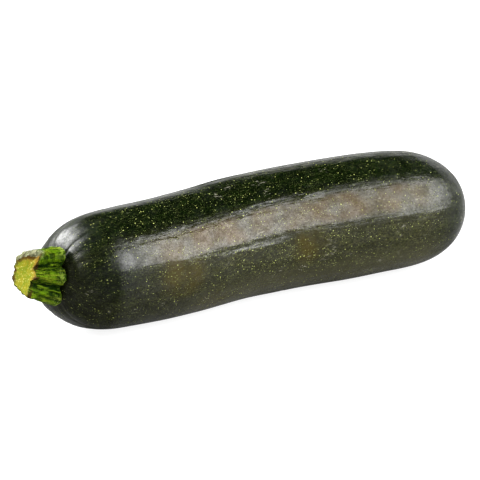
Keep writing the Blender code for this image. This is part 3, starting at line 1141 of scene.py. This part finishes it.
def flesh_colour(tree, tools, grain, cut, wear, marks):
    """The cut: yellow-green and wet, with pale grains, brown where its top edge has dried."""
    times = tools[0]
    ragged = marks["ragged"]
    flesh = mix_colours(tree, marks["lumps"], FLESH_YELLOW, FLESH_GREEN)
    flesh = mix_colours(tree, times(marks["crystals"], 0.8), flesh, FLESH_PALE)
    rim = times(
        remap(tree, cut, 0.60, 0.06),
        facing(tree, grain, -45, 0.1, 0.9, GRAIN_RADIUS),
        level(tree, ragged, 0.35, 0.8),
    )
    flesh = mix_colours(tree, rim, flesh, FLESH_ORANGE)
    dried = times(
        do_math(tree, "MAXIMUM", wear["X"], wear["Y"]),
        remap(tree, cut, 0.30, 0.17),
        level(tree, ragged, 0.8, 1.0),
    )
    return mix_colours(tree, dried, flesh, DRY_BROWN)


def make_stem_skin(flecks, patches):
    material, tree, shader = new_material("courgette_stem", 0.5)
    shader.inputs["Specular IOR Level"].default_value = STEM_GLOSS
    tools = pattern_tools(tree, flecks, patches)
    times, cloud, scatter = tools
    grain = read_attribute(tree, "grain")
    place = object_place(tree)
    form = read_parts(tree, read_attribute(tree, "form"))
    wear = read_parts(tree, read_attribute(tree, "wear"))
    share, crown, cut = form["X"], form["Y"], form["Z"]
    marks = {
        "fibres": cloud(grain, FIBRES),
        "seams": cloud(grain, SEAMS, SEAM_SHIFT),
        "threads": cloud(grain, THREADS),
        "lumps": cloud(place, LUMPS),
        "ragged": cloud(place, RAGGED),
        "painted_glints": scatter(place, PAINTED_GLINTS, 0.45),
        "crystals": scatter(place, CRYSTALS, 0.85),
    }
    side = side_colour(tree, tools, share, crown, wear, marks)
    flesh = flesh_colour(tree, tools, grain, cut, wear, marks)
    colour = mix_colours(tree, remap(tree, cut, 0.01, 0.05), side, flesh)
    tree.links.new(colour, shader.inputs["Base Color"])

    skin = remap(tree, cut, 0.05, 0.0)
    emboss(
        tree,
        shader,
        (
            (times(marks["fibres"], skin), 0.00022),
            (times(marks["threads"], skin), 0.00050),
            (marks["crystals"], 0.00007),
            (times(marks["lumps"], skin), 0.00050),
        ),
    )
    return material


# The set: a pale floor, soft lights and a horizon that is white below and dark above
FLOOR_SIZE = 8.0
FLOOR_GREY = (0.25, 0.25, 0.25, 1.0)
FLOOR_GLOW = 0.86  # added for the eye alone, so that the floor looks white and reflects less
HORIZON_GLOW = 1.0
DARK_SKY = 0.015
HORIZON_TOP = (0.36, 0.46)  # heights on a unit sphere where the white ends and the dark begins
# Soft panels: name, azimuth and height in degrees, distance, size, glow, roll in degrees
PANELS = (
    ("key_light", 142.0, 31, 0.75, (1.03, 0.76), 7.5, -24),
    ("side_light", -48, 40, 0.80, (0.80, 0.60), 18.0, 0),
)


def make_floor():
    deselect_all()
    bpy.ops.mesh.primitive_plane_add(size=FLOOR_SIZE, location=(0, 0, 0))
    floor = bpy.context.object
    floor.name = "floor"
    material, tree, shader = new_material("floor_white", 0.9)
    shader.inputs["Base Color"].default_value = FLOOR_GREY
    shader.inputs["Specular IOR Level"].default_value = 0.0
    seen = add_node(tree, "ShaderNodeLightPath").outputs["Is Camera Ray"]
    glow = do_math(tree, "MULTIPLY", seen, FLOOR_GLOW)
    shader.inputs["Emission Color"].default_value = WHITE
    tree.links.new(glow, shader.inputs["Emission Strength"])
    floor.data.materials.append(material)


def make_horizon():
    world = bpy.data.worlds.new("studio")
    bpy.context.scene.world = world
    world.use_nodes = True
    tree = world.node_tree
    way = add_node(tree, "ShaderNodeTexCoord").outputs["Generated"]
    height = read_parts(tree, way)["Z"]
    dark = remap(tree, height, *HORIZON_TOP)
    glow = mix_colours(tree, dark, (HORIZON_GLOW,) * 3 + (1,), (DARK_SKY,) * 3 + (1,))
    tree.links.new(glow, tree.nodes["Background"].inputs["Color"])


def make_panel(name, azimuth, height, distance, size, glow, roll):
    """A soft light panel that faces the courgette; azimuth runs from +Y to +X, in degrees."""
    light = bpy.data.lights.new(name, "AREA")
    light.shape = "RECTANGLE"
    light.size, light.size_y = size
    light.energy = glow * math.pi * size[0] * size[1]
    panel = bpy.data.objects.new(name, light)
    bpy.context.scene.collection.objects.link(panel)
    turn, rise = math.radians(azimuth), math.radians(height)
    way = Vector(
        (math.sin(turn) * math.cos(rise), math.cos(turn) * math.cos(rise), math.sin(rise))
    )
    panel.location = way * distance
    tilt = Matrix.Rotation(math.radians(roll), 3, "Z")
    panel.rotation_euler = (way.to_track_quat("Z", "Y").to_matrix() @ tilt).to_euler()


def make_camera():
    camera = bpy.data.cameras.new("camera")
    camera.lens = CAMERA_LENS
    camera.sensor_width = SENSOR_WIDTH
    camera.clip_end = CAMERA_REACH
    holder = bpy.data.objects.new("camera", camera)
    bpy.context.scene.collection.objects.link(holder)
    holder.location = CAMERA_PLACE
    aim = Vector(CAMERA_TARGET) - Vector(CAMERA_PLACE)
    holder.rotation_euler = aim.to_track_quat("-Z", "Y").to_euler()
    bpy.context.scene.camera = holder


def shift_to_solid(pieces, node):
    """Moves the pieces' points so that the first lies where its solid does."""
    low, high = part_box(node)
    points = [vert.co for vert in pieces[0].data.vertices]
    move = Vector((0, 0, 0))
    for axis in (0, 1):
        places = [point[axis] for point in points]
        move[axis] = (low[axis] + high[axis]) / 2 - (min(places) + max(places)) / 2
    for piece in pieces:
        piece.data.transform(Matrix.Translation(move))


def dress(piece, node, material):
    """Puts the finished piece in its solid's place."""
    piece.data.materials.clear()
    piece.data.materials.append(material)
    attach(piece, BODY)
    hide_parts(node)


make_camera()
make_floor()
make_horizon()
for panel_values in PANELS:
    make_panel(*panel_values)

fruit = extrude_fruit()
work_fruit_skin(fruit)
stem = extrude_stem(fruit)
shift_to_solid((fruit, stem), "fruit")

flecks_group = make_flecks_group()
patches_group = make_patches_group()
dress(fruit, "fruit", make_skin(flecks_group, patches_group))
dress(stem, "stem", make_stem_skin(flecks_group, patches_group))

bpy.context.scene.view_settings.view_transform = "Standard"
